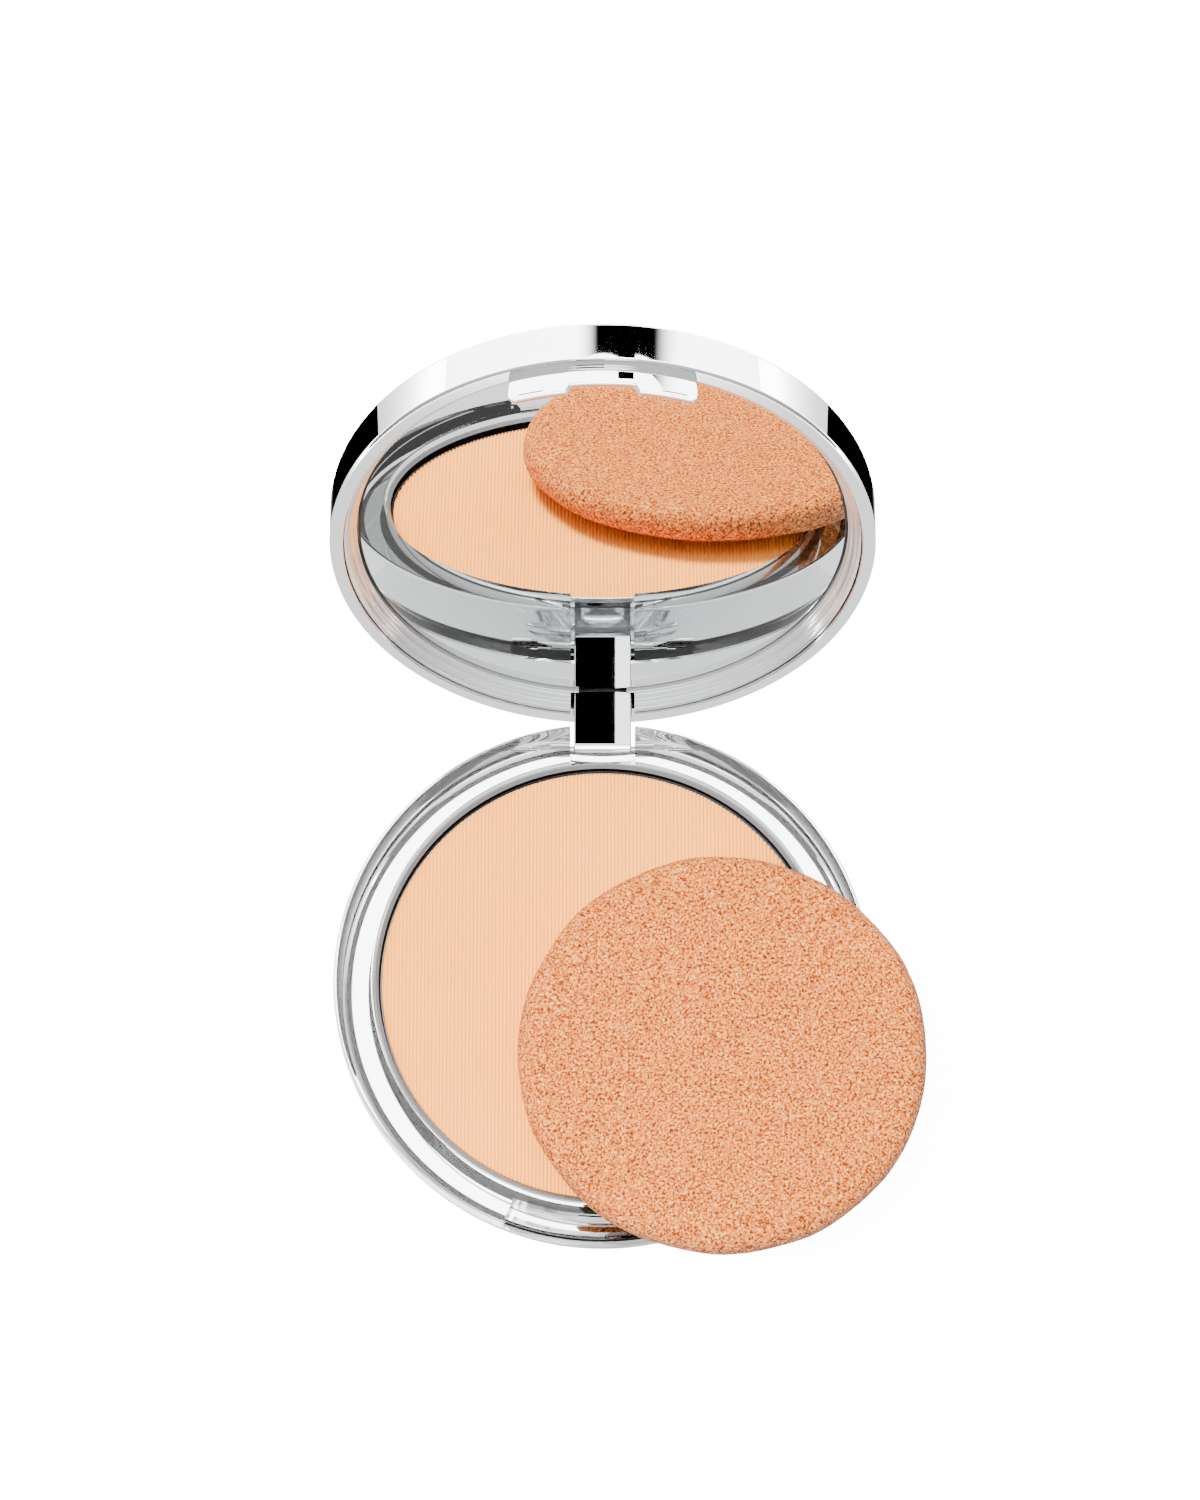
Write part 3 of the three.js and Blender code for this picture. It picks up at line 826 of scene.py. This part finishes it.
def card_material(name, colour, glow, span=None, fade=(0, 0), round_fade=None):
    """A matt card that may fade out towards its left and right edges, or all round."""
    material, tree, shader = new_material(name, "#000000", Roughness=1.0, Emission_Strength=glow)
    shader.inputs["Emission Color"].default_value = linear(colour)
    shader.inputs["Specular IOR Level"].default_value = 0.0
    if span:
        coordinates = node(tree, "ShaderNodeTexCoord").outputs["Object"]
        across = node(tree, "ShaderNodeSeparateXYZ", Vector=coordinates).outputs["X"]
        edges = [
            node(
                tree, "ShaderNodeMapRange", {"interpolation_type": "SMOOTHSTEP"}, Value=across,
                From_Min=edge * MM, From_Max=(edge + inward * max(soft, 0.1)) * MM, To_Min=0.0, To_Max=1.0,
            ).outputs["Result"]
            for edge, inward, soft in ((span[0], 1, fade[0]), (span[1], -1, fade[1]))
        ]
        both = node(tree, "ShaderNodeMath", {"operation": "MULTIPLY"}, i0=edges[0], i1=edges[1])
        tree.links.new(both.outputs[0], shader.inputs["Alpha"])
    if round_fade:
        coordinates = node(tree, "ShaderNodeTexCoord").outputs["Object"]
        reach = node(tree, "ShaderNodeVectorMath", {"operation": "LENGTH"}, Vector=coordinates)
        fading = node(
            tree, "ShaderNodeMapRange", {"interpolation_type": "SMOOTHSTEP"}, Value=reach.outputs["Value"],
            From_Min=round_fade[0] * MM, From_Max=round_fade[1] * MM, To_Min=1.0, To_Max=0.0,
        )
        tree.links.new(fading.outputs["Result"], shader.inputs["Alpha"])
    return material


def card(name, middle, size, tilt, colour="#000000", glow=0.0, fade=None, turn=0, round_fade=None):
    """A card hung beside the set, seen only in reflections."""
    bm = bmesh.new()
    bmesh.ops.create_grid(bm, x_segments=1, y_segments=1, size=0.5)
    place = Matrix.Translation(middle) @ Matrix.Rotation(math.radians(tilt), 4, "X")
    place = place @ Matrix.Rotation(math.radians(turn), 4, "Z") @ Matrix.Diagonal((*size, 1, 1))
    bmesh.ops.transform(bm, matrix=place, verts=bm.verts)
    bmesh.ops.scale(bm, vec=(MM, MM, MM), verts=bm.verts)
    mesh = bpy.data.meshes.new(name)
    bm.to_mesh(mesh)
    bm.free()
    board = bpy.data.objects.new(name, mesh)
    bpy.context.scene.collection.objects.link(board)
    span = (middle[0] - size[0] / 2, middle[0] + size[0] / 2) if fade else None
    mesh.materials.append(card_material(name, colour, glow, span, fade, round_fade))
    board.visible_camera = False
    board.visible_shadow = False
    board.visible_diffuse = False


def make_cards():
    """Black cards that put dark accents in the lid's side, strap and tongue, over a grey table card."""
    strap = Vector((0, PIN.y + 3, 5))
    across = Vector((0, -0.459, 0.888))
    far = strap + Vector((0, 0.888, 0.459)) * 300
    back_tilt = 117.3
    card("card_for_lid_left", far + Vector((-4, 0, 0)) + across * 20.8, (72, 22.4), back_tilt, fade=(34, 0))
    card(
        "card_for_lid_right", far + Vector((71, 0, 0)) + across * -5.8, (98, 60), back_tilt,
        fade=(0, 47), turn=-8.8,
    )
    card("card_for_tongue", far + Vector((35, 0, 0)) + across * 36.5, (24, 14), back_tilt, turn=-6)
    above = strap + Vector((0, -0.31, 0.951)) * 420
    card("card_above_strap", above + Vector((-26.4, 0, 0)), (60, 60), 18)
    card("card_under_left", (-74, 95, 0.4), (80, 62), 0, fade=(0, 14))
    card("card_under_right", (74, 95, 0.4), (80, 62), 0, fade=(14, 0))
    card("grey_table_card", (0, 0, 0.1), (1300, 1300), 0, "#FFFFFF", 1.7, round_fade=(130, 620))


def make_floor():
    bm = bmesh.new()
    bmesh.ops.create_grid(bm, x_segments=1, y_segments=1, size=1.5)
    mesh = bpy.data.meshes.new("floor")
    bm.to_mesh(mesh)
    bm.free()
    floor = bpy.data.objects.new("floor", mesh)
    bpy.context.scene.collection.objects.link(floor)
    floor.location.z = -0.00002
    floor.visible_diffuse = False
    material, _, shader = new_material(
        "studio_floor", "#F4F4F4", Roughness=0.7, Emission_Strength=FLOOR_GLOW,
    )
    shader.inputs["Emission Color"].default_value = linear("#FFFFFF")
    shader.inputs["Specular IOR Level"].default_value = 0.2
    mesh.materials.append(material)


def key_light():
    data = bpy.data.lights.new("key", "AREA")
    data.shape = "DISK"
    data.size = 0.3
    data.energy = 27
    light = bpy.data.objects.new("key", data)
    light.location = KEY
    light.rotation_euler = (Vector((0, 0.01, 0.01)) - Vector(KEY)).to_track_quat("-Z", "Y").to_euler()
    light.visible_glossy = False
    bpy.context.scene.collection.objects.link(light)


def softbox(tree, direction, axis, inner, outer, strength):
    """Light from a round patch of the cove, full within one angle and gone at another."""
    aim = node(
        tree, "ShaderNodeVectorMath", {"operation": "DOT_PRODUCT"},
        i0=direction, i1=Vector(axis).normalized(),
    )
    return node(
        tree, "ShaderNodeMapRange", {"interpolation_type": "SMOOTHSTEP"}, Value=aim.outputs["Value"],
        From_Min=math.cos(math.radians(outer)), From_Max=math.cos(math.radians(inner)),
        To_Min=0.0, To_Max=strength,
    ).outputs["Result"]


def make_studio():
    """A cove, soft on matt surfaces; polished ones see three softboxes on a tent that darkens downwards."""
    world = bpy.data.worlds.new("studio")
    bpy.context.scene.world = world
    world.use_nodes = True
    tree = world.node_tree
    background = tree.nodes["Background"]
    background.inputs["Color"].default_value = linear("#FFFFFF")
    ray = node(tree, "ShaderNodeLightPath")
    direction = node(tree, "ShaderNodeTexCoord").outputs["Generated"]
    height = node(tree, "ShaderNodeSeparateXYZ", Vector=direction).outputs["Z"]
    tent = node(
        tree, "ShaderNodeMapRange", Value=height, From_Min=0.05, From_Max=0.8, To_Min=0.3, To_Max=1.1,
    ).outputs["Result"]
    boxes = [
        softbox(tree, direction, (0, 0.31, 0.951), 9, 14, 7.5),
        softbox(tree, direction, (0, -0.31, 0.951), 7, 12, 2.6),
        softbox(tree, direction, (0, 0.88, 0.40), 40, 75, 8.5),
    ]
    for box in boxes:
        tent = node(tree, "ShaderNodeMath", {"operation": "ADD"}, i0=tent, i1=box).outputs[0]
    soft = node(
        tree, "ShaderNodeMapRange", Value=height, From_Min=-0.2, From_Max=0.7, To_Min=0.08, To_Max=1.0,
    ).outputs["Result"]
    lit = node(
        tree, "ShaderNodeMapRange", Value=ray.outputs["Is Diffuse Ray"], To_Min=tent, To_Max=soft,
    ).outputs["Result"]
    strength = node(
        tree, "ShaderNodeMapRange", Value=ray.outputs["Is Camera Ray"], To_Min=lit, To_Max=FLOOR_GLOW,
    )
    tree.links.new(strength.outputs["Result"], background.inputs["Strength"])
    key_light()


for make in (
    make_base_dish, make_clear_body, make_tray, make_pan, make_powder, make_pin, make_lid_shell,
    make_lid_frame, make_mirror, make_strap, make_tongue, make_sponge, make_camera, make_floor, make_studio,
    make_cards,
):
    make()
dress_cad_node("base_label", LABEL)
dress_cad_node("pan_adhesive", TAPE)
dress_cad_node("mirror_adhesive", TAPE)
